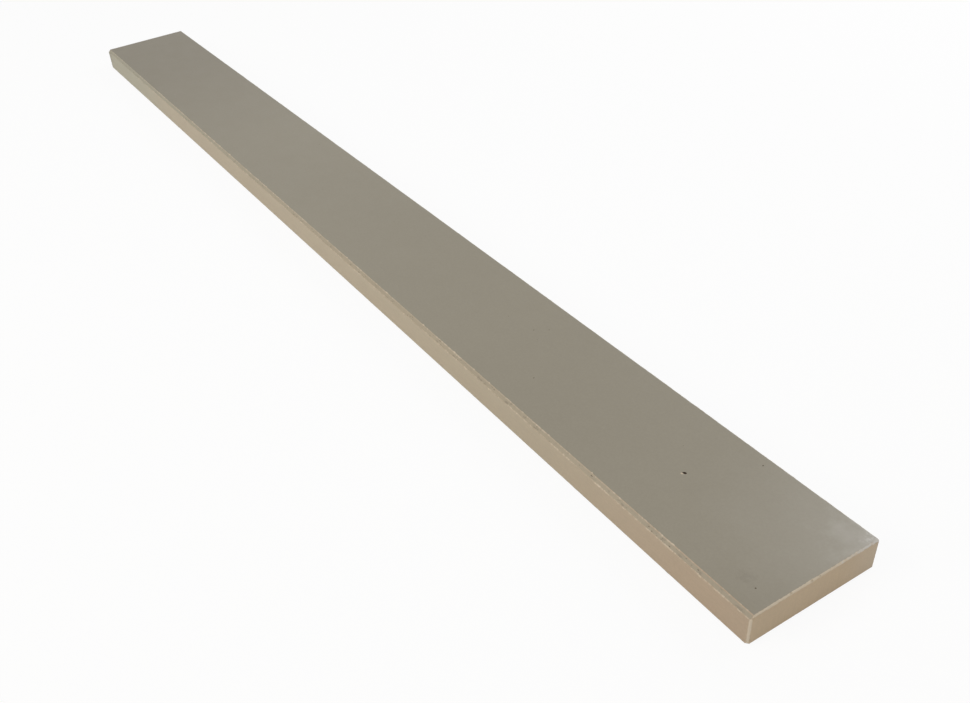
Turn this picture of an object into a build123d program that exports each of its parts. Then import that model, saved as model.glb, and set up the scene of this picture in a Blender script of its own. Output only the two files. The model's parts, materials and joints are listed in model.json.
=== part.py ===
"""Composite window sill: one straight bar of resin-bound stone, lying on its bedding face.

Millimetres, +Z up. X runs along the sill, and the front edge, which faces the room, is at -Y.
The origin is the middle of the underside.
"""

import os

from build123d import *

# Driving dimensions
sill_length = 960.0
sill_depth = 85.0
sill_thickness = 20.0
# Leg of the 45 degree chamfer along the front top edge
front_chamfer = 2.0
# Leg of the small bevel that eases every other edge
eased_arris = 0.8

# Where the outer faces lie
front_y = -sill_depth / 2
back_y = sill_depth / 2
underside_z = 0.0
top_z = sill_thickness


def sill_section():
    """The section across the sill, on the YZ plane, standing on the underside."""
    outline = Pos(0, sill_thickness / 2) * Rectangle(sill_depth, sill_thickness)
    bevels = (
        ((front_y, top_z), front_chamfer),
        ((back_y, top_z), eased_arris),
        ((back_y, underside_z), eased_arris),
        ((front_y, underside_z), eased_arris),
    )
    for corner_place, leg in bevels:
        corner = outline.vertices().sort_by_distance(corner_place)[0]
        outline = chamfer(corner, leg)
    return Plane.YZ * outline


def window_sill():
    """The section drawn out to the sill's length, with both sawn ends eased all round."""
    bar = extrude(sill_section(), sill_length / 2, both=True)
    faces_along = bar.faces().sort_by(Axis.X)
    end_edges = faces_along[0].edges() + faces_along[-1].edges()
    return chamfer(end_edges, eased_arris)


os.makedirs("parts", exist_ok=True)
export_step(window_sill(), "parts/window_sill.step")
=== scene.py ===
"""A composite window sill, modelled and finished over its solid, on a pale studio floor.

Metres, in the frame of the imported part: X runs along the sill, the front edge is at -Y and Z is up from
the underside. The file is laid out as an add-on. Its properties hold what a user would change, one
operator models and finishes the bar, and another sets the stage.
"""

import json
import math
import random
from typing import NamedTuple

import bmesh
import bpy
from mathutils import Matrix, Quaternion, Vector
from mathutils.geometry import intersect_point_line

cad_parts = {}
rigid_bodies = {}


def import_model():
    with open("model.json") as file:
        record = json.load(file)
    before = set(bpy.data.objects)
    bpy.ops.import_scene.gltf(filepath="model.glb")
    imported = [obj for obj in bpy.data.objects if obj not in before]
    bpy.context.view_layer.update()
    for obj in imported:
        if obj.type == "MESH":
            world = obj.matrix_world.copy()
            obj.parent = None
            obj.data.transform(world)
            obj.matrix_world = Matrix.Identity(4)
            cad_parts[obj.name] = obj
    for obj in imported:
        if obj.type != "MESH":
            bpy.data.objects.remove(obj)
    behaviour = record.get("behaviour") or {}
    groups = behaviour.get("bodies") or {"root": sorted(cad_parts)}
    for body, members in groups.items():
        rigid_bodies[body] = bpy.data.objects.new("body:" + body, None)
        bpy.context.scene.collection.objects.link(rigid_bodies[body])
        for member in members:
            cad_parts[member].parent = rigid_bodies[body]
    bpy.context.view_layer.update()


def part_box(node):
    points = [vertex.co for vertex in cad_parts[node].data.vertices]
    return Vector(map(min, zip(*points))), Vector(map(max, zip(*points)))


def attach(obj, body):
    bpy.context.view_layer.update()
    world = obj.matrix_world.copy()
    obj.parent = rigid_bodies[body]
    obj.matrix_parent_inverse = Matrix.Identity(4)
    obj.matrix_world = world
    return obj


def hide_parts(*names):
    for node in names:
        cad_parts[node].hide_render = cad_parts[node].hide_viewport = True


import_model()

bl_info = {
    "name": "Composite window sill",
    "version": (1, 0, 0),
    "blender": (4, 5, 0),
    "location": "View3D > Sidebar > Sill",
    "description": "Models a worn composite window sill over its solid and sets a pale studio round it",
    "category": "Object",
}

MM = 0.001
# How near two places count as the same, and how near two corners are welded
TOUCH = 0.01 * MM
WELD = 0.002 * MM
# Least share of an edge's length along its axis, and of a face's normal along its facing
STRAIGHT = 0.999
SQUARE = 0.995
# Grit of the stone flour, drawn coarser than it is so that it shows
GRIT_MM = 1.4

# The solid's own faces, and the corners that are marked
sill_low, sill_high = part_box("window_sill")
left_x, front_y, under_z = sill_low
right_x, back_y, top_z = sill_high
sill_size = sill_high - sill_low
sill_middle = (sill_low + sill_high) / 2
near_back_corner = Vector((right_x, back_y, top_z))
near_front_corner = Vector((right_x, front_y, top_z))
far_front_corner = Vector((left_x, front_y, top_z))

# Sockets of a colour Mix node, which share their names with those of its other kinds
MIX_FACTOR = 0
MIX_A = 6
MIX_B = 7
MIX_RESULT = 2


def linear(hex_code):
    """The linear red, green and blue of an sRGB colour written as #rrggbb."""
    channels = [int(hex_code[start:start + 2], 16) / 255 for start in (1, 3, 5)]
    return tuple(c / 12.92 if c <= 0.04045 else ((c + 0.055) / 1.055) ** 2.4 for c in channels)


def size_property(name, description, millimetres):
    """A length that a user may change, with its default given in millimetres."""
    return bpy.props.FloatProperty(
        name=name, description=description, default=millimetres * MM, min=0.0, precision=5, unit="LENGTH"
    )


def colour_property(name, description, hex_code):
    """A colour that a user may change, with its default given in sRGB."""
    return bpy.props.FloatVectorProperty(
        name=name, description=description, default=linear(hex_code), min=0.0, max=1.0, subtype="COLOR"
    )


def strength_property(name, description, strength, unit="NONE"):
    """A strength that a user may change."""
    return bpy.props.FloatProperty(name=name, description=description, default=strength, min=0.0, unit=unit)


class SillShape(bpy.types.PropertyGroup):
    """Sizes of the bar's edges and of the damage to it."""

    front_chamfer: size_property("Front chamfer", "Leg of the 45 degree chamfer along the front", 2.0)
    eased_arris: size_property("Eased arris", "Radius to which every other edge is rubbed down", 0.8)
    border_easing: size_property("Chamfer borders", "Radius of the chamfer's own two borders", 0.3)
    rub_depth: size_property("Rubbing", "How far the hand rubbing wanders along an edge", 0.12)
    nick_depth: size_property("Nicks", "Depth of the fine nicks along an edge", 0.2)
    flake_bite: size_property("Flakes", "How deep the largest flakes bite into a long edge", 0.35)
    chip_bite: size_property("Chips", "How deep the largest chips bite into an edge of the near end", 0.6)
    pit_length: size_property("Pit length", "Length of the open pit in the top face", 2.5)
    pit_width: size_property("Pit width", "Width of the open pit in the top face", 1.5)
    pit_depth: size_property("Pit depth", "Depth of the open pit in the top face", 0.9)


class SillFinish(bpy.types.PropertyGroup):
    """Colours of the composite, of what has marked it, and of the shade and sheen painted on it."""

    # Darker and greyer than the sides, partly from the honed finish and partly as painted shade for the less
    # light the top gets
    top: colour_property("Top", "Honed and sealed top face", "#979182")
    side: colour_property("Sides", "Sanded long sides", "#b4a790")
    # These two tones make the sides warmer towards the near end and greyer towards the far end
    browned: colour_property("Browned side", "Sides towards the near end, browned by handling", "#b39f87")
    greyed: colour_property("Greyed side", "Sides towards the far end, greyed by dust", "#aaa591")
    chamfer: colour_property("Chamfer", "Chamfer rubbed by hand along the front", "#a79b86")
    end: colour_property("Ends", "Sawn ends", "#c1ad90")
    underside: colour_property("Underside", "Cast underside", "#a99c86")
    worn: colour_property("Worn edge", "Stone laid bare along the edges", "#d3c5b0")
    broken: colour_property("Broken stone", "Stone broken open in the chips", "#ccbea8")
    # Laid as pale scuffs and as painted sheen near the back corner of the near end, and as a pale tone on the
    # ends towards the back
    scuff_and_sheen: colour_property("Scuffs", "Pale scuffs at the near back corner", "#d2d0cc")
    # This colour is painted shade along the edges that face away and down, at the top's near front corner and
    # far end, and at the far front corner of the sides. On the chamfer it darkens both ends and lays dark
    # spots.
    grime_and_shade: colour_property("Grime", "Grime along the edges that face away", "#6a6255")
    dust: colour_property("Dust", "Dust in pinholes and nicks", "#6f6656")
    soil: colour_property("Soil", "Dirt in the open pit", "#43382d")


class SillStudio(bpy.types.PropertyGroup):
    """Floor, sky and lamps of the studio."""

    floor_size: size_property("Floor", "Side of the square floor", 12000.0)
    floor: colour_property("Floor colour", "Pale floor", "#f4f4f4")
    backdrop: strength_property("Backdrop", "How white the floor and the sky look", 0.92)
    sky_low: strength_property("Low sky", "Strength of the studio's light at the horizon", 0.03)
    sky_high: strength_property("High sky", "Strength of the studio's light overhead", 0.53)
    key_power: strength_property("Key", "Power of the main lamp in front", 14.0, "POWER")
    day_power: strength_property("Day", "Power of the cool lamp in front of the far end", 1.8, "POWER")
    fill_power: strength_property("Fill", "Power of the soft lamp at the near end", 4.7, "POWER")
    sheen_power: strength_property("Sheen", "Power of the lamp behind, for the satin top", 9.0, "POWER")
    band_power: strength_property("Band", "Power of the small lamp past the far end", 0.8, "POWER")


# The bar's edges

class Arris(NamedTuple):
    """An edge of the bar: its two ends, how pale each is worn, how much painted shade it gets, its breadth
    and its chips.
    """

    start: Vector
    end: Vector
    start_wear: float
    end_wear: float
    # How much painted shade the edge gets, where it faces away from the light and where it faces down
    grime_and_shade: float
    breadth: float
    # For each 100 mm
    chips: float
    chip_bite: float

    def place(self, share):
        """The place that share of the way along the edge."""
        return self.start.lerp(self.end, share)

    def inward(self):
        """The way from the edge into the stone, square to it."""
        signs = [0.0, 0.0, 0.0]
        for axis in range(3):
            if abs(self.start[axis] - self.end[axis]) > TOUCH:
                continue
            if abs(self.start[axis] - sill_low[axis]) < TOUCH:
                signs[axis] = 1.0
            if abs(self.start[axis] - sill_high[axis]) < TOUCH:
                signs[axis] = -1.0
        return Vector(signs).normalized()

    def marks(self, place):
        """How worn the edge makes a place, and how much painted shade it gives it: in full near it, and not
        at all past its breadth.
        """
        share = intersect_point_line(place, self.start, self.end)[1]
        share = min(max(share, 0.0), 1.0)
        gap = (place - self.place(share)).length
        nearness = min(1.0, max(0.0, 2 - 2 * gap / self.breadth))
        wear = self.start_wear + (self.end_wear - self.start_wear) * share
        return wear * nearness, self.grime_and_shade * nearness


def bar_arrises(shape):
    """Every edge of the bar. The near end is worn palest, and the edges that face away and those that face
    down get painted shade.
    """
    broad = shape.eased_arris * 1.2
    narrow = shape.border_easing * 2.2
    light, deep = shape.flake_bite, shape.chip_bite
    chamfer_top = (front_y + shape.front_chamfer, top_z)
    chamfer_foot = (front_y, top_z - shape.front_chamfer)
    front_foot = (front_y, under_z)
    back_top = (back_y, top_z)
    back_foot = (back_y, under_z)
    # Where a long edge lies, its wear at the far and the near end, its painted shade, breadth and chips
    long_edges = (
        (chamfer_top, 0.4, 0.42, 0.0, narrow, 6.0),
        (chamfer_foot, 0.32, 0.48, 0.0, narrow, 10.0),
        (back_top, 0.1, 0.3, 0.3, broad, 4.0),
        (front_foot, 0.0, 0.0, 0.85, broad, 3.0),
        (back_foot, 0.0, 0.0, 0.6, broad, 3.0),
    )
    arrises = []
    for corner, *marks in long_edges:
        arrises.append(Arris(Vector((left_x, *corner)), Vector((right_x, *corner)), *marks, light))
    # Two corners of an end edge, its marks at the near and the far end, and its chips at the near end.
    # The marks are its wear at each corner, its painted shade and its breadth.
    end_edges = (
        (chamfer_top, back_top, (0.95, 1.0, 0.0, broad * 1.2), (0.1, 0.1, 0.8, broad), 18.0),
        (chamfer_foot, front_foot, (1.0, 0.9, 0.0, broad * 1.5), (0.0, 0.0, 0.6, broad * 2), 14.0),
        (chamfer_top, chamfer_foot, (0.7, 0.9, 0.0, broad), (0.0, 0.0, 0.6, broad * 2), 0.0),
        (back_top, back_foot, (0.4, 0.0, 0.85, broad * 1.4), (0.2, 0.0, 0.6, broad), 12.0),
        (front_foot, back_foot, (0.0, 0.0, 0.85, broad * 1.2), (0.0, 0.0, 0.6, broad), 8.0),
    )
    for start, end, near_marks, far_marks, chips in end_edges:
        near = Vector((right_x, *start)), Vector((right_x, *end))
        far = Vector((left_x, *start)), Vector((left_x, *end))
        arrises.append(Arris(*near, *near_marks, chips, deep))
        arrises.append(Arris(*far, *far_marks, chips / 2, light))
    return arrises


# Modelling

def select_edges(bar, wanted, *details):
    """In edit mode, selects the edges for which wanted is true with these details, and nothing else."""
    bpy.ops.mesh.select_mode(type="EDGE")
    bpy.ops.mesh.select_all(action="DESELECT")
    mesh = bmesh.from_edit_mesh(bar.data)
    for edge in mesh.edges:
        edge.select_set(wanted(edge, *details))
    bmesh.update_edit_mesh(bar.data)


def runs_along(edge, axis, least=0.0):
    """True if the edge lies along that axis and is longer than the least length."""
    step = edge.verts[1].co - edge.verts[0].co
    return step.length > least and abs(step[axis]) > step.length * STRAIGHT


def within(edge, lows, highs):
    """True if both ends of the edge lie in the box between these corners."""
    return all(
        lows[axis] - TOUCH < corner.co[axis] < highs[axis] + TOUCH
        for corner in edge.verts for axis in range(3)
    )


def depth_in(place, axis):
    """How deep a place lies inside the nearer of the bar's two faces across that axis."""
    return min(place[axis] - sill_low[axis], sill_high[axis] - place[axis])


def saw_bar(shape):
    """A bar of the solid's size, with the front top edge chamfered."""
    bpy.ops.object.select_all(action="DESELECT")
    bpy.ops.mesh.primitive_cube_add(size=1.0, location=sill_middle, scale=sill_size)
    bar = bpy.context.object
    bar.name = "sill_bar"
    bar.data.name = "sill_bar"
    bpy.ops.object.transform_apply(location=True, rotation=True, scale=True)
    bpy.ops.object.mode_set(mode="EDIT")
    select_edges(bar, within, far_front_corner, near_front_corner)
    bpy.ops.mesh.bevel(offset=shape.front_chamfer, offset_type="OFFSET", segments=1, affect="EDGES")
    bpy.ops.object.mode_set(mode="OBJECT")
    return bar


def is_border(edge, brow):
    """True if the edge runs along the bar inside the box of the chamfer."""
    return runs_along(edge, 0) and within(edge, *brow)


def ease_arrises(bar, shape):
    """Rounds every edge a little, and the chamfer's two borders less."""
    brow = (
        Vector((left_x, front_y, top_z - shape.front_chamfer)),
        Vector((right_x, front_y + shape.front_chamfer, top_z)),
    )
    bpy.ops.object.mode_set(mode="EDIT")
    select_edges(bar, is_border, brow)
    bpy.ops.transform.edge_bevelweight(value=shape.border_easing / shape.eased_arris)
    bpy.ops.mesh.select_all(action="INVERT")
    bpy.ops.transform.edge_bevelweight(value=1.0)
    bpy.ops.object.mode_set(mode="OBJECT")
    bpy.ops.object.modifier_add(type="BEVEL")
    easing = bar.modifiers[-1]
    easing.width = shape.eased_arris
    easing.segments = 3
    easing.limit_method = "WEIGHT"
    bpy.ops.object.modifier_apply(modifier=easing.name)


def spread(low, high, count):
    """Evenly spaced places from low to high, both included."""
    return [low + (high - low) * k / count for k in range(count + 1)]


def in_strip(edge, axis, breadth, least):
    """True if the edge runs along that axis in a strip of that breadth beside one of the bar's edges."""
    across = [side for side in range(3) if side != axis]
    return runs_along(edge, axis, least) and all(
        depth_in(corner.co, side) < breadth + TOUCH for corner in edge.verts for side in across
    )


def cut_stations(bar, shape):
    """Divides the flats coarsely, and the strips along the edges closely enough to hold wear."""
    strip = 0.5 * MM
    by_arris = shape.eased_arris + strip
    by_chamfer = shape.front_chamfer + shape.border_easing + strip
    bay = 12 * MM
    bays_across_top = 10
    bays_up_side = 3
    columns = [front_y + by_arris] + spread(front_y + by_chamfer, back_y - by_arris, bays_across_top)
    rows = spread(under_z + by_arris, top_z - by_chamfer, bays_up_side) + [top_z - by_arris]
    stops = (left_x + by_arris, right_x - by_arris)
    bpy.ops.object.mode_set(mode="EDIT")
    for axis, cuts in ((0, stops), (1, columns), (2, rows)):
        normal = [float(axis == k) for k in range(3)]
        for cut in cuts:
            bpy.ops.mesh.select_all(action="SELECT")
            bpy.ops.mesh.bisect(plane_co=[cut * part for part in normal], plane_no=normal)
    # Bays along the whole bar
    select_edges(bar, runs_along, 0, sill_size.x / 2)
    bpy.ops.mesh.subdivide(number_cuts=round(sill_size.x / bay) - 1)
    # Stations of 0.8 to 1.2 mm in the strips, where an edge isn't short already
    short = 2.5 * MM
    for axis, cuts in ((0, 9), (1, 9), (2, 5)):
        select_edges(bar, in_strip, axis, by_chamfer, short)
        bpy.ops.mesh.subdivide(number_cuts=cuts, ngon=True)
    bpy.ops.object.mode_set(mode="OBJECT")


def rub_arrises(bar, shape):
    """Makes the rounding and the chamfer uneven along each edge, as hand rubbing and knocks leave them."""
    rubbed = "rubbed_arrises"
    group = bar.vertex_groups.new(name=rubbed)
    brow_y = front_y + shape.front_chamfer
    brow_z = top_z - shape.front_chamfer
    for corner in bar.data.vertices:
        rounded = sum(depth_in(corner.co, axis) < shape.eased_arris - TOUCH for axis in range(3)) > 1
        chamfered = corner.co.y < brow_y + TOUCH and corner.co.z > brow_z - TOUCH
        if rounded or chamfered:
            group.add([corner.index], 1.0, "REPLACE")
    for name, size_mm, depth in (("rubbing", 14.0, shape.rub_depth), ("nicks", 2.2, shape.nick_depth)):
        pattern = bpy.data.textures.new(name, "CLOUDS")
        pattern.noise_scale = size_mm * MM
        pattern.contrast = 1.6
        bpy.ops.object.modifier_add(type="DISPLACE")
        displace = bar.modifiers[-1]
        displace.texture = pattern
        displace.texture_coords = "LOCAL"
        displace.vertex_group = rubbed
        displace.mid_level = 0.0
        displace.strength = -depth
        bpy.ops.object.modifier_apply(modifier=displace.name)


class Pebbles:
    """Rough pebbles to be cut out of the bar together, none of them touching another."""

    # How far apart two stay, and how uneven each is, as shares of their radii
    spacing = 1.2
    unevenness = 0.14

    def __init__(self, seed):
        self.dice = random.Random(seed)
        self.objects = []
        self.taken = []

    def has_room(self, place, radii):
        """True if a pebble there would keep clear of the others."""
        return all(
            any(
                abs(place[axis] - other[axis]) > self.spacing * (radii[axis] + reach[axis])
                for axis in range(3)
            )
            for other, reach in self.taken
        )

    def add(self, place, radii, material, turn=0.0):
        """Adds a pebble where a chip or pit is to be cut, unless another is in its way."""
        if not self.has_room(place, radii):
            return
        self.taken.append((place, radii))
        bpy.ops.mesh.primitive_ico_sphere_add(
            subdivisions=2, radius=1.0, location=place, rotation=(0, 0, turn), scale=radii
        )
        pebble = bpy.context.object
        bpy.ops.object.mode_set(mode="EDIT")
        bpy.ops.transform.vertex_random(offset=self.unevenness * min(radii), seed=self.dice.randrange(1000))
        bpy.ops.object.mode_set(mode="OBJECT")
        pebble.data.materials.append(material)
        self.objects.append(pebble)

    def cut_from(self, bar):
        """Cuts the pebbles out of the bar, and leaves their finish on the cut."""
        bpy.ops.object.select_all(action="DESELECT")
        for pebble in self.objects:
            pebble.select_set(True)
        bpy.context.view_layer.objects.active = self.objects[0]
        bpy.ops.object.join()
        bpy.ops.object.transform_apply(location=True, rotation=True, scale=True)
        cutter = bpy.context.object
        bpy.context.view_layer.objects.active = bar
        bpy.ops.object.modifier_add(type="BOOLEAN")
        cut = bar.modifiers[-1]
        cut.object = cutter
        cut.operation = "DIFFERENCE"
        cut.solver = "EXACT"
        cut.material_mode = "TRANSFER"
        bpy.ops.object.modifier_apply(modifier=cut.name)
        if not bar.data.polygons:
            raise RuntimeError("Cutting out the pebbles left nothing of the bar")
        bpy.ops.object.select_all(action="DESELECT")
        cutter.select_set(True)
        bpy.ops.object.delete()
        bar.select_set(True)
        bpy.context.view_layer.objects.active = bar


def on_top(x_mm, y_mm, lift_mm=0.0):
    """A place on the top face, or that much above it."""
    return Vector((x_mm * MM, y_mm * MM, top_z + lift_mm * MM))


# The pit, the flake on its side towards the front, and the smudge near the front corner
pit_place = on_top(389.6, -1.0)
pit_turn = math.radians(31)
flake_place = on_top(389.1, -2.3, 0.5)
flake_radii = [1.5 * MM, 1.0 * MM, 0.7 * MM]
smudge_place = on_top(460.9, -26.7)


def chip_bar(bar, shape, broken):
    """Chips along the edges and off some corners, and the flake beside the pit, all of fresh stone."""
    chips = Pebbles(seed=7)
    dice = chips.dice
    # Corners knocked off, and how far along the three edges of each, in millimetres
    corners = (
        ((right_x, front_y, under_z), (3.2, 3.0, 2.4)),
        ((right_x, back_y, top_z), (2.0, 1.6, 1.6)),
        ((right_x, back_y, under_z), (2.0, 2.0, 4.0)),
        ((left_x, front_y, under_z), (2.0, 2.0, 2.0)),
        ((left_x, front_y, top_z), (2.5, 2.5, 2.5)),
    )
    for corner, reaches in corners:
        from_middle = Vector(corner) - sill_middle
        outward = Vector([math.copysign(1 / reach, part) for reach, part in zip(reaches, from_middle)])
        depth = MM / outward.length
        radius = 2 * max(reaches) * MM
        chips.add(Vector(corner) + outward.normalized() * (radius - depth), [radius] * 3, broken)
    chips.add(flake_place, flake_radii, broken, pit_turn)
    # How far the crest of a rounded edge and of a chamfer's border lies in from the sharp edge
    round_crest = 0.41 * shape.eased_arris
    border_crest = 0.03 * MM
    # A chip's radius across its edge, and how many times as long it is
    radius_mm = (1.0, 1.6)
    lengthening = (0.9, 2.6)
    # The most that it takes of its own stretch of the edge, and the least of the full bite
    most_room = 0.28
    least_bite = 0.15
    for arris in bar_arrises(shape):
        step = arris.end - arris.start
        count = round(step.length / (100 * MM) * arris.chips)
        crest = round_crest if arris.breadth > shape.eased_arris else border_crest
        for k in range(count):
            share = (k + dice.random()) / count
            across = dice.uniform(*radius_mm) * MM
            along = min(across * dice.uniform(*lengthening), most_room * step.length / count)
            bite = arris.chip_bite * (least_bite + (1 - least_bite) * dice.random() ** 2)
            radii = [along if abs(part) > TOUCH else across for part in step]
            chips.add(arris.place(share) + arris.inward() * (crest + bite - across), radii, broken)
    chips.cut_from(bar)


def open_pits(bar, shape, dusty, soiled):
    """The open pit in the top, a few pinholes, and nicks along the chamfer."""
    pits = Pebbles(seed=11)
    dice = pits.dice
    pit_radii = [shape.pit_length / 2, shape.pit_width / 2, shape.pit_depth]
    pits.add(pit_place, pit_radii, soiled, pit_turn)
    # The pinholes that show best, with their radii, and a scatter of finer ones, in millimetres
    pinholes = [
        (468.1, -28.1, 0.45), (409.4, 35.8, 0.4), (234.0, 13.0, 0.4), (239.8, 20.8, 0.4), (274.5, -16.2, 0.4),
    ]
    scatter_start = -440
    scatter_length = 880
    scatter_depth = (-34, 38)
    scatter_radius = (0.2, 0.3)
    scatter_count = 12
    for k in range(scatter_count):
        x = scatter_start + scatter_length * (k + dice.random()) / scatter_count
        pinholes.append((x, dice.uniform(*scatter_depth), dice.uniform(*scatter_radius)))
    for x, y, radius in pinholes:
        pits.add(on_top(x, y, lift_mm=0.2 * radius), [radius * MM] * 3, dusty)
    # Two rows of nicks, each a share of the way down the chamfer, closer together towards the near end
    nick_rows = (0.3, 0.65)
    row_stray = 0.12
    nick_count = 70
    crowding = 0.6
    nick_radius_mm = (0.16, 0.4)
    lengthening = (1.0, 4.0)
    for row in nick_rows:
        for k in range(nick_count):
            x = left_x + sill_size.x * ((k + dice.random()) / nick_count) ** crowding
            drop = (row + dice.uniform(-row_stray, row_stray)) * shape.front_chamfer
            across = dice.uniform(*nick_radius_mm) * MM
            lift = 0.3 * across
            place = Vector((x, front_y + shape.front_chamfer - drop - lift, top_z - drop + lift))
            pits.add(place, [across * dice.uniform(*lengthening), across, across], dusty)
    pits.cut_from(bar)


def weld_corners():
    """Merges the corners that the cuts left almost on each other."""
    bpy.ops.object.mode_set(mode="EDIT")
    bpy.ops.mesh.select_all(action="SELECT")
    bpy.ops.mesh.remove_doubles(threshold=WELD)
    bpy.ops.object.mode_set(mode="OBJECT")


def dress_faces(bar, finish):
    """Gives each face of the bar the finish for the way it faces, and the sanded one to all the others."""
    facings = (
        (sanded_side, ()),
        (honed_top, ((0, 0, 1),)),
        (rubbed_chamfer, ((0, -1, 1),)),
        (sawn_end, ((1, 0, 0), (-1, 0, 0))),
        (cast_underside, ((0, 0, -1),)),
    )
    for slot, (make_finish, ways) in enumerate(facings):
        bar.data.materials.append(make_finish(finish))
        for way in ways:
            facing = Vector(way).normalized()
            for face in bar.data.polygons:
                if face.normal.dot(facing) > SQUARE:
                    face.material_index = slot


def mark_wear(bar, shape):
    """Paints how worn each place along the edges is and how much painted shade it gets, for the finishes to
    read.
    """
    arrises = bar_arrises(shape)
    # A place is marked only if it lies nearer than this to two of the bar's faces
    reach = 3 * shape.front_chamfer
    wears = []
    shades = []
    for corner in bar.data.vertices:
        by_edge = sum(depth_in(corner.co, axis) < reach for axis in range(3)) > 1
        marks = [arris.marks(corner.co) for arris in arrises] if by_edge else [(0.0, 0.0)]
        wears.append(max(wear for wear, grime_and_shade in marks))
        shades.append(max(grime_and_shade for wear, grime_and_shade in marks))
    for name, values in (("edge_wear", wears), ("edge_shade", shades)):
        bar.data.attributes.new(name, "FLOAT", "POINT").data.foreach_set("value", values)


def is_rim(edge, body_slots):
    """True if the edge parts a chip or pit from the bar's own faces."""
    return len({face.material_index in body_slots for face in edge.link_faces}) > 1


def smooth_faces(bar, body_slots):
    """Shades the rounded edges smooth, with a crisp rim round each chip and pit."""
    bpy.ops.object.shade_smooth_by_angle(angle=math.radians(40))
    bpy.ops.object.mode_set(mode="EDIT")
    select_edges(bar, is_rim, body_slots)
    bpy.ops.mesh.mark_sharp()
    bpy.ops.object.mode_set(mode="OBJECT")


# Finishes

def per_metre(millimetres):
    """The scale at which a pattern repeats at that size."""
    return 1.0 / (millimetres * MM)


class Nodes:
    """A node tree in the making."""

    def __init__(self, owner):
        owner.use_nodes = True
        self.tree = owner.node_tree
        self.tree.nodes.clear()

    def add(self, kind, settings=None, inputs=None, output=0):
        """Adds a node with its settings, links or sets its inputs by name or number, and gives one output."""
        made = self.tree.nodes.new(kind)
        for name, value in (settings or {}).items():
            setattr(made, name, value)
        for name, value in (inputs or {}).items():
            socket = made.inputs[name]
            if isinstance(value, bpy.types.NodeSocket):
                self.tree.links.new(value, socket)
            elif socket.type == "RGBA":
                socket.default_value = (*value, 1.0)
            else:
                socket.default_value = value
        return made.outputs[output] if made.outputs else None

    def in_sight(self):
        """1 where the camera sees a place, straight or in gloss or glass, and 0 for the light it gives."""
        seen = self.add("ShaderNodeLightPath", output="Is Camera Ray")
        for other in ("Is Glossy Ray", "Is Transmission Ray"):
            ray = self.add("ShaderNodeLightPath", output=other)
            seen = self.add("ShaderNodeMath", {"operation": "MAXIMUM"}, {0: seen, 1: ray})
        return seen


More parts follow.
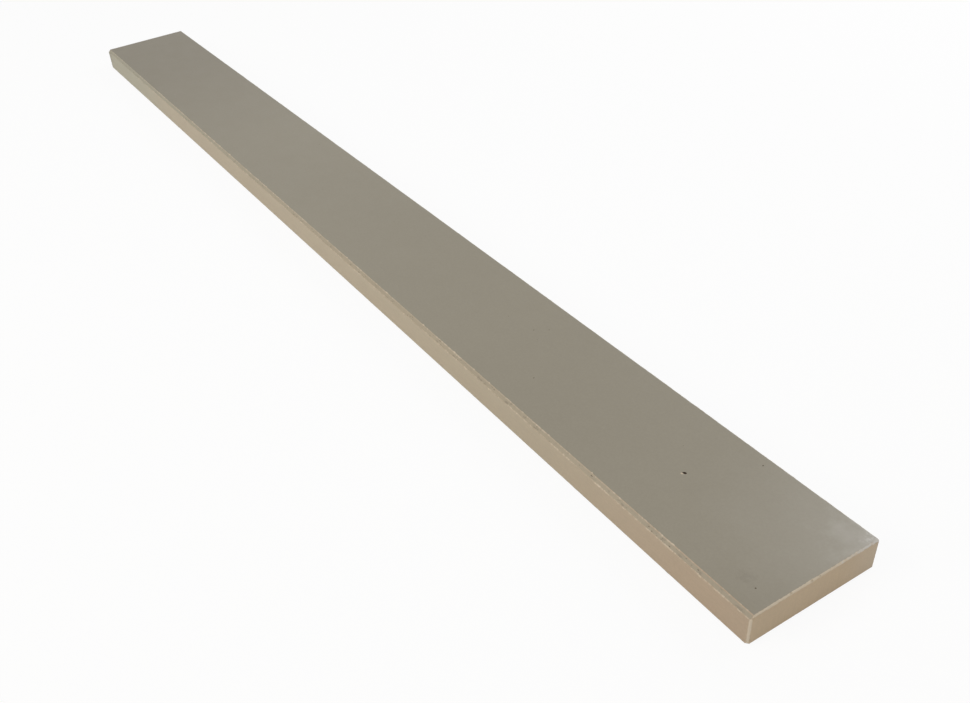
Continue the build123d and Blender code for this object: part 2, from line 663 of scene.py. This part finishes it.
class Finish(Nodes):
    """A material in the making, with the place on the piece that its patterns read."""

    def __init__(self, name):
        self.material = bpy.data.materials.new(name)
        super().__init__(self.material)
        self.place = self.add("ShaderNodeTexCoord", output="Object")

    def patches(self, size_mm, low, high, detail=2.0, stretch=(1.0, 1.0, 1.0)):
        """A soft random pattern of that size, stretched if asked, with values from low to high."""
        place = self.add("ShaderNodeMapping", inputs={"Vector": self.place, "Scale": stretch})
        noise = self.add("ShaderNodeTexNoise", inputs={
            "Vector": place, "Scale": per_metre(size_mm), "Detail": detail, "Roughness": 0.6})
        # The noise seldom leaves the range from 0.3 to 0.7
        return self.add("ShaderNodeMapRange", inputs={
            "Value": noise, "From Min": 0.3, "From Max": 0.7, "To Min": low, "To Max": high})

    def stone(self, colour, clouding, grain, lines=1.0):
        """Resin-bound stone flour: clouded over hand widths and finger widths, with its grit."""
        tone = lines
        for size_mm, depth in ((130, clouding), (11, clouding / 2), (GRIT_MM, grain)):
            pattern = self.patches(size_mm, 1 - depth, 1 + depth)
            tone = self.add("ShaderNodeMath", {"operation": "MULTIPLY"}, {0: tone, 1: pattern})
        return self.add("ShaderNodeVectorMath", {"operation": "SCALE"}, {"Vector": colour, "Scale": tone})

    def spots(self, size_mm, strength, stretch):
        """Scattered spots of that size, stretched along an axis, of that strength."""
        pattern = self.patches(size_mm, 0.0, 1.0, detail=3.0, stretch=stretch)
        return self.add("ShaderNodeMapRange", {"interpolation_type": "SMOOTHSTEP"}, {
            "Value": pattern, "From Min": 0.65, "From Max": 0.95, "To Max": strength})

    def blot(self, centre, radius_mm, ragged_mm, strength, stray=0.5):
        """A round patch of that strength, fading to an edge that strays by a share of its radius."""
        distance = self.add(
            "ShaderNodeVectorMath", {"operation": "DISTANCE"}, {0: self.place, 1: centre}, output="Value"
        )
        radius = radius_mm * MM
        wander = self.patches(ragged_mm, -stray * radius, stray * radius, detail=3.0)
        edge = self.add("ShaderNodeMath", {"operation": "ADD"}, {0: distance, 1: wander})
        return self.add("ShaderNodeMapRange", {"interpolation_type": "SMOOTHSTEP"}, {
            "Value": edge, "From Min": 0.0, "From Max": radius, "To Min": strength, "To Max": 0.0})

    def along(self, start_mm, end_mm, strength=1.0, axis="X"):
        """0 at one place along an axis of the bar, rising softly to that strength at another."""
        reach = self.add("ShaderNodeSeparateXYZ", inputs={0: self.place}, output=axis)
        return self.add("ShaderNodeMapRange", {"interpolation_type": "SMOOTHSTEP"}, {
            "Value": reach, "From Min": start_mm * MM, "From Max": end_mm * MM, "To Max": strength})

    def painted(self, attribute, ragged_mm, strength):
        """Where an edge is painted with that attribute, broken up raggedly."""
        paint = self.add("ShaderNodeAttribute", {"attribute_name": attribute}, output="Fac")
        for size_mm, depth in ((ragged_mm, 0.26), (ragged_mm * 9, 0.16)):
            uneven = self.patches(size_mm, -depth, depth, detail=3.0)
            paint = self.add("ShaderNodeMath", {"operation": "ADD"}, {0: paint, 1: uneven})
        return self.add("ShaderNodeMapRange", {"interpolation_type": "SMOOTHSTEP"}, {
            "Value": paint, "From Min": 0.32, "From Max": 0.8, "To Max": strength})

    def coated(self, colour, *coats):
        """The colour under coats of other colours, each laid on as thick as its share says."""
        for coat, share in coats:
            colour = self.add("ShaderNodeMix", {"data_type": "RGBA"}, {
                MIX_FACTOR: share, MIX_A: colour, MIX_B: coat}, MIX_RESULT)
        return colour

    def edged(self, colour, finish):
        """The colour with painted shade and pale wear along the edges; the wear is whitest at the near back
        corner.
        """
        # The wear whitens at the near back corner, partly from scuffs and partly as painted sheen
        whitened = self.blot(near_back_corner, radius_mm=30.0, ragged_mm=4.0, strength=0.9)
        worn = self.coated(finish.worn, (finish.scuff_and_sheen, whitened))
        return self.coated(
            colour,
            # Painted shade along the edges that face away and down
            (finish.grime_and_shade, self.painted("edge_shade", ragged_mm=2.0, strength=0.85)),
            (worn, self.painted("edge_wear", ragged_mm=1.8, strength=1.0)),
        )

    def done(self, inputs, relief=None, relief_mm=0.0):
        """The finished material, with these inputs on its shader and a pattern for its relief, if any."""
        if relief is not None:
            inputs["Normal"] = self.add("ShaderNodeBump", inputs={
                "Height": relief, "Strength": 1.0, "Distance": relief_mm * MM})
        shader = self.add("ShaderNodeBsdfPrincipled", inputs={"IOR": 1.5, **inputs})
        self.add("ShaderNodeOutputMaterial", inputs={"Surface": shader})
        return self.material


def honed_top(finish):
    """Honed composite under a thin worn sealer: even, satin and hardly grained, its dark grey partly painted
    shade.
    """
    top = Finish("composite_honed_top")
    colour = top.coated(
        top.stone(finish.top, clouding=0.015, grain=0.025),
        (finish.soil, top.blot(smudge_place, radius_mm=6.0, ragged_mm=2.5, strength=0.12)),
        # Painted shade at the near front corner of the top, where the light falls off
        (finish.grime_and_shade, top.blot(near_front_corner, radius_mm=60.0, ragged_mm=30.0, strength=0.12, stray=0.2)),
        # Painted shade, darkening the top towards the far end
        (finish.grime_and_shade, top.along(-120, -400, strength=0.25)),
        # The two broader pale coats at the near back corner are painted sheen, and the smallest one is pale
        # scuffs
        (finish.scuff_and_sheen, top.blot(near_back_corner, radius_mm=100.0, ragged_mm=24.0, strength=0.17, stray=0.06)),
        (finish.scuff_and_sheen, top.blot(near_back_corner, radius_mm=34.0, ragged_mm=9.0, strength=0.28, stray=0.25)),
        (finish.scuff_and_sheen, top.blot(near_back_corner, radius_mm=9.0, ragged_mm=1.6, strength=0.6)),
    )
    looks = {
        "Base Color": top.edged(colour, finish),
        "Roughness": top.patches(18, low=0.52, high=0.56, detail=3.0),
        "Specular IOR Level": 0.3,
    }
    return top.done(looks, relief=top.patches(GRIT_MM, 0.0, 1.0), relief_mm=0.006)


def sanded_side(finish):
    """Sawn composite sanded smooth along its length: warm, paler and duller than the top."""
    side = Finish("composite_sanded_side")
    streaks = side.patches(0.9, low=0.975, high=1.025, stretch=(0.02, 1.0, 1.0))
    colour = side.coated(
        finish.side,
        # Warmer towards the near end and greyer towards the far end
        (finish.browned, side.along(280, 480)),
        (finish.greyed, side.along(-250, -420)),
        # Painted shade at the far front corner
        (finish.grime_and_shade, side.blot(far_front_corner, radius_mm=16.0, ragged_mm=6.0, strength=0.4)),
    )
    stone = side.stone(colour, clouding=0.02, grain=0.03, lines=streaks)
    looks = {"Base Color": side.edged(stone, finish), "Roughness": 0.55}
    return side.done(looks, relief=streaks, relief_mm=0.1)


def rubbed_chamfer(finish):
    """The chamfer taken off by hand: a shade darker than the side."""
    chamfer = Finish("composite_rubbed_chamfer")
    colour = chamfer.coated(
        finish.chamfer,
        # Greyer towards the far end, and darker towards both ends
        (finish.greyed, chamfer.along(100, -420)),
        (finish.grime_and_shade, chamfer.along(340, 450, strength=0.2)),
        (finish.grime_and_shade, chamfer.along(0, -350, strength=0.2)),
        (finish.grime_and_shade, chamfer.spots(2.4, strength=0.4, stretch=(0.5, 1.0, 1.0))),
    )
    stone = chamfer.stone(colour, clouding=0.04, grain=0.04)
    looks = {"Base Color": chamfer.edged(stone, finish), "Roughness": 0.5}
    return chamfer.done(looks, relief=chamfer.patches(GRIT_MM, 0.0, 1.0), relief_mm=0.01)


def sawn_end(finish):
    """Ends cut square by a fine saw: matt, with faint upright saw lines, and paler and greyer towards the
    back.
    """
    end = Finish("composite_sawn_end")
    saw_lines = end.patches(1.1, low=0.98, high=1.02, stretch=(1.0, 1.0, 0.04))
    colour = end.coated(finish.end, (finish.scuff_and_sheen, end.along(15, 42, strength=0.14, axis="Y")))
    stone = end.stone(colour, clouding=0.025, grain=0.03, lines=saw_lines)
    looks = {"Base Color": end.edged(stone, finish), "Roughness": 0.6}
    return end.done(looks, relief=saw_lines, relief_mm=0.2)


def cast_underside(finish):
    """The face that lay in the mould: dull and evenly clouded."""
    underside = Finish("composite_cast_underside")
    stone = underside.stone(finish.underside, clouding=0.05, grain=0.04)
    looks = {"Base Color": underside.edged(stone, finish), "Roughness": 0.75}
    return underside.done(looks, relief=underside.patches(GRIT_MM, 0.0, 1.0), relief_mm=0.02)


def broken_stone(finish):
    """Freshly broken composite in the chips: pale, rough and dull."""
    chip = Finish("composite_broken_chip")
    looks = {"Base Color": chip.stone(finish.broken, clouding=0.04, grain=0.08), "Roughness": 0.85}
    return chip.done(looks, relief=chip.patches(0.8, 0.0, 1.0), relief_mm=0.05)


def dusty_pinhole(finish):
    """Pinholes left by air in the mix: open stone, dulled by dust."""
    pinhole = Finish("composite_dusty_pinhole")
    return pinhole.done({
        "Base Color": pinhole.stone(finish.dust, clouding=0.1, grain=0.1), "Roughness": 0.9})


def soiled_pit(finish):
    """Dirt that has lodged in the open pit: dark brown and dull."""
    pit = Finish("soil_in_pit")
    return pit.done({
        "Base Color": pit.stone(finish.soil, clouding=0.1, grain=0.15), "Roughness": 0.9})


def studio_floor(studio):
    """A pale floor that the camera sees as almost white, with the sill's soft shadow on it."""
    material = bpy.data.materials.new("studio_floor")
    floor = Nodes(material)
    paper = floor.add("ShaderNodeBsdfDiffuse", inputs={"Color": studio.floor})
    white = floor.add("ShaderNodeEmission", inputs={"Color": linear("#ffffff"), "Strength": 1.0})
    share = floor.add("ShaderNodeMath", {"operation": "MULTIPLY"}, {0: floor.in_sight(), 1: studio.backdrop})
    mixed = floor.add("ShaderNodeMixShader", inputs={0: share, 1: paper, 2: white})
    floor.add("ShaderNodeOutputMaterial", inputs={"Surface": mixed})
    return material


# Stage

def add_lamp(name, place, target, size, power, colour):
    """A soft rectangular lamp at a place, turned to its target."""
    bpy.ops.object.light_add(type="AREA", location=place)
    lamp = bpy.context.object
    lamp.name = name
    lamp.data.shape = "RECTANGLE"
    lamp.data.size, lamp.data.size_y = size
    lamp.data.energy = power
    lamp.data.color = linear(colour)
    lamp.rotation_mode = "QUATERNION"
    lamp.rotation_quaternion = (Vector(target) - Vector(place)).to_track_quat("-Z", "Y")


def set_sky(studio):
    """Soft light from all round, dimmer at the horizon than overhead, from a sky that looks almost white."""
    world = bpy.data.worlds.new("studio_sky")
    bpy.context.scene.world = world
    sky = Nodes(world)
    white = linear("#ffffff")
    direction = sky.add("ShaderNodeTexCoord", output="Generated")
    height = sky.add("ShaderNodeSeparateXYZ", inputs={0: direction}, output="Z")
    strength = sky.add("ShaderNodeMapRange", inputs={
        "Value": height, "To Min": studio.sky_low, "To Max": studio.sky_high})
    light = sky.add("ShaderNodeBackground", inputs={"Color": white, "Strength": strength})
    backdrop = sky.add("ShaderNodeBackground", inputs={"Color": white, "Strength": studio.backdrop})
    mixed = sky.add("ShaderNodeMixShader", inputs={0: sky.in_sight(), 1: light, 2: backdrop})
    sky.add("ShaderNodeOutputWorld", inputs={"Surface": mixed})


def set_camera():
    """A camera where the picture was taken from."""
    place = Vector((685.8, -305.3, 408.5)) * MM
    azimuth = math.radians(62.05)
    elevation = math.radians(38.09)
    roll = math.radians(-5.61)
    back = Vector((
        math.sin(azimuth) * math.cos(elevation),
        -math.cos(azimuth) * math.cos(elevation),
        math.sin(elevation),
    ))
    bpy.ops.object.camera_add(location=place)
    camera = bpy.context.object
    camera.name = "camera"
    camera.rotation_mode = "QUATERNION"
    camera.rotation_quaternion = (-back).to_track_quat("-Z", "Y") @ Quaternion((0, 0, 1), roll)
    camera.data.sensor_fit = "HORIZONTAL"
    camera.data.sensor_width = 36.0
    camera.data.lens = 38.98
    camera.data.shift_x = 0.0560
    camera.data.shift_y = 0.0410
    camera.data.clip_start = 0.01
    bpy.context.scene.camera = camera


class SILL_OT_model_bar(bpy.types.Operator):
    """Model the sill's bar with its worn edges, chips and pits, and finish its faces"""

    bl_idname = "sill.model_bar"
    bl_label = "Model Sill Bar"
    bl_options = {"REGISTER", "UNDO"}

    def execute(self, context):
        shape = context.scene.sill_shape
        finish = context.scene.sill_finish
        bar = saw_bar(shape)
        ease_arrises(bar, shape)
        cut_stations(bar, shape)
        dress_faces(bar, finish)
        body_slots = range(len(bar.data.materials))
        rub_arrises(bar, shape)
        chip_bar(bar, shape, broken_stone(finish))
        open_pits(bar, shape, dusty_pinhole(finish), soiled_pit(finish))
        weld_corners()
        mark_wear(bar, shape)
        smooth_faces(bar, body_slots)
        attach(bar, "root")
        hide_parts("window_sill")
        return {"FINISHED"}


class SILL_OT_set_stage(bpy.types.Operator):
    """Lay the floor, hang the lamps and place the camera"""

    bl_idname = "sill.set_stage"
    bl_label = "Set Stage"
    bl_options = {"REGISTER", "UNDO"}

    def execute(self, context):
        studio = context.scene.sill_studio
        floor_drop = 0.1 * MM
        bpy.ops.object.select_all(action="DESELECT")
        bpy.ops.mesh.primitive_plane_add(size=studio.floor_size, location=(0, 0, under_z - floor_drop))
        floor = context.object
        floor.name = "studio_floor"
        floor.data.materials.append(studio_floor(studio))
        set_sky(studio)
        # Each lamp's place, what it is turned to, its width and height, its power and its tint
        add_lamp("key_lamp", (-0.1, -1.5, 1.0), (0, 0, 0), (1.0, 1.0), studio.key_power, "#fff9ef")
        add_lamp("day_lamp", (-1.0, -1.3, 1.1), (-0.3, 0, 0), (1.0, 1.0), studio.day_power, "#eaf2ff")
        add_lamp("fill_lamp", (1.9, -0.1, 0.8), (0.3, 0, 0), (1.2, 0.8), studio.fill_power, "#fff4e1")
        add_lamp("sheen_lamp", (0.15, 1.3, 0.8), (0.4, 0, 0), (1.4, 0.8), studio.sheen_power, "#f8f9ff")
        add_lamp("band_lamp", (-1.6, 0.58, 0.76), (-0.1, 0, 0), (0.5, 0.5), studio.band_power, "#f4f8ff")
        set_camera()
        context.scene.view_settings.view_transform = "Standard"
        return {"FINISHED"}


class VIEW3D_PT_window_sill(bpy.types.Panel):
    """Sidebar panel with the sill's settings and operators"""

    bl_label = "Composite Window Sill"
    bl_idname = "VIEW3D_PT_window_sill"
    bl_space_type = "VIEW_3D"
    bl_region_type = "UI"
    bl_category = "Sill"

    def draw(self, context):
        scene = context.scene
        for groups, operator in (
            ((scene.sill_shape, scene.sill_finish), SILL_OT_model_bar.bl_idname),
            ((scene.sill_studio,), SILL_OT_set_stage.bl_idname),
        ):
            box = self.layout.box()
            for group in groups:
                for name in group.__annotations__:
                    box.prop(group, name)
            box.operator(operator)


property_groups = {"sill_shape": SillShape, "sill_finish": SillFinish, "sill_studio": SillStudio}
classes = (*property_groups.values(), SILL_OT_model_bar, SILL_OT_set_stage, VIEW3D_PT_window_sill)


def register():
    for cls in classes:
        bpy.utils.register_class(cls)
    for name, group in property_groups.items():
        setattr(bpy.types.Scene, name, bpy.props.PointerProperty(type=group))


def unregister():
    for name in property_groups:
        delattr(bpy.types.Scene, name)
    for cls in reversed(classes):
        bpy.utils.unregister_class(cls)


def main():
    register()
    bpy.ops.sill.model_bar()
    bpy.ops.sill.set_stage()


if __name__ == "__main__":
    main()
